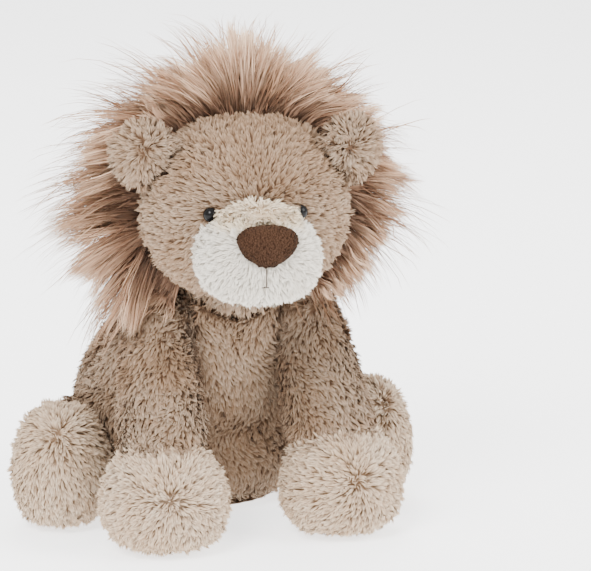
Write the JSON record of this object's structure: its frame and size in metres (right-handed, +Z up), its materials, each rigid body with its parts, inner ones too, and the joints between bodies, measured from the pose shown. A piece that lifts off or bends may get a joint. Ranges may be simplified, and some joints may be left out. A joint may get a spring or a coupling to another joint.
{
  "type": "plush lion",
  "caption": "Sitting plush lion with a soft stuffed body, round paws, cupped ears, a white muzzle, a long fur mane and a tufted tail.",
  "frame": {"origin": "on the floor, in the middle of the hips, on the underside of the seat panel", "axes": "+Z up, the lion faces -Y, and its own left is +X"},
  "size_m": [0.3376, 0.4465, 0.3885],
  "materials": {
    "beige_fur": "plush pile",
    "pale_fur": "plush pile",
    "white_fur": "short plush pile",
    "cream_fur": "short plush pile",
    "long_fur": "long faux fur",
    "brown_velour": "velour",
    "white_fibre": "loose polyester fibre",
    "white_cotton": "cotton bag of beans",
    "black_plastic": "polished",
    "white_plastic": "moulded"
  },
  "bodies": {
    "torso": {"torso_cover": "beige_fur", "seat_panel": "beige_fur", "torso_stuffing": "white_fibre", "seat_bean_bag": "white_cotton"},
    "neck": {"neck_cover": "beige_fur"},
    "head": {"head_cover": "beige_fur", "head_stuffing": "white_fibre", "muzzle_cover_left": "white_fur", "muzzle_cover_right": "white_fur", "muzzle_stuffing": "white_fibre", "bridge_panel": "cream_fur", "nose": "brown_velour", "eye_left": "black_plastic", "eye_right": "black_plastic", "eye_washer_left": "white_plastic", "eye_washer_right": "white_plastic", "mane_panel_left": "long_fur", "mane_panel_right": "long_fur"},
    "tail": {"tail_cover": "beige_fur", "tail_tuft": "long_fur"},
    "ear_left": {"ear_cover_left": "beige_fur", "ear_lining_left": "beige_fur"},
    "front_leg_left": {"front_leg_cover_left": "beige_fur", "front_paw_cover_left": "pale_fur", "front_leg_stuffing_left": "white_fibre"},
    "hind_leg_left": {"hind_leg_cover_left": "beige_fur", "hind_foot_cover_left": "pale_fur", "hind_leg_stuffing_left": "white_fibre"},
    "ear_right": {"ear_cover_right": "beige_fur", "ear_lining_right": "beige_fur"},
    "front_leg_right": {"front_leg_cover_right": "beige_fur", "front_paw_cover_right": "pale_fur", "front_leg_stuffing_right": "white_fibre"},
    "hind_leg_right": {"hind_leg_cover_right": "beige_fur", "hind_foot_cover_right": "pale_fur", "hind_leg_stuffing_right": "white_fibre"}
  },
  "joints": [
    {"name": "neck_turn", "type": "hinge", "parent": "torso", "child": "neck", "pos_m": [0, -0.095, 0.212], "axis": [0, 0, 1], "range_deg": [-20, 20]},
    {"name": "head_nod", "type": "hinge", "parent": "neck", "child": "head", "pos_m": [0, -0.095, 0.212], "axis": [0.9816, -0.1908, 0], "range_deg": [-12, 6]},
    {"name": "front_leg_left_lift", "type": "hinge", "parent": "torso", "child": "front_leg_left", "pos_m": [0.061, -0.092, 0.166], "axis": [-1, 0, 0], "range_deg": [0, 45]},
    {"name": "hind_leg_left_splay", "type": "hinge", "parent": "torso", "child": "hind_leg_left", "pos_m": [0.094, 0.004, 0.047], "axis": [0, 0, 1], "range_deg": [0, 30]},
    {"name": "ear_left_fold", "type": "hinge", "parent": "head", "child": "ear_left", "pos_m": [0.05432, -0.17069, 0.30497], "axis": [0.5189, 0.1009, -0.8489], "range_deg": [-8, 14], "stiffness_Nm_per_rad": 0.02},
    {"name": "front_leg_right_lift", "type": "hinge", "parent": "torso", "child": "front_leg_right", "pos_m": [-0.061, -0.092, 0.166], "axis": [-1, 0, 0], "range_deg": [0, 45]},
    {"name": "hind_leg_right_splay", "type": "hinge", "parent": "torso", "child": "hind_leg_right", "pos_m": [-0.094, 0.004, 0.047], "axis": [0, 0, -1], "range_deg": [0, 30]},
    {"name": "ear_right_fold", "type": "hinge", "parent": "head", "child": "ear_right", "pos_m": [-0.07482, -0.14559, 0.30498], "axis": [0.4433, -0.2879, 0.8489], "range_deg": [-8, 14], "stiffness_Nm_per_rad": 0.02},
    {"name": "tail_swing", "type": "hinge", "parent": "torso", "child": "tail", "pos_m": [0, 0.08742, 0.036], "axis": [0, 0, 1], "range_deg": [-35, 35]}
  ]
}
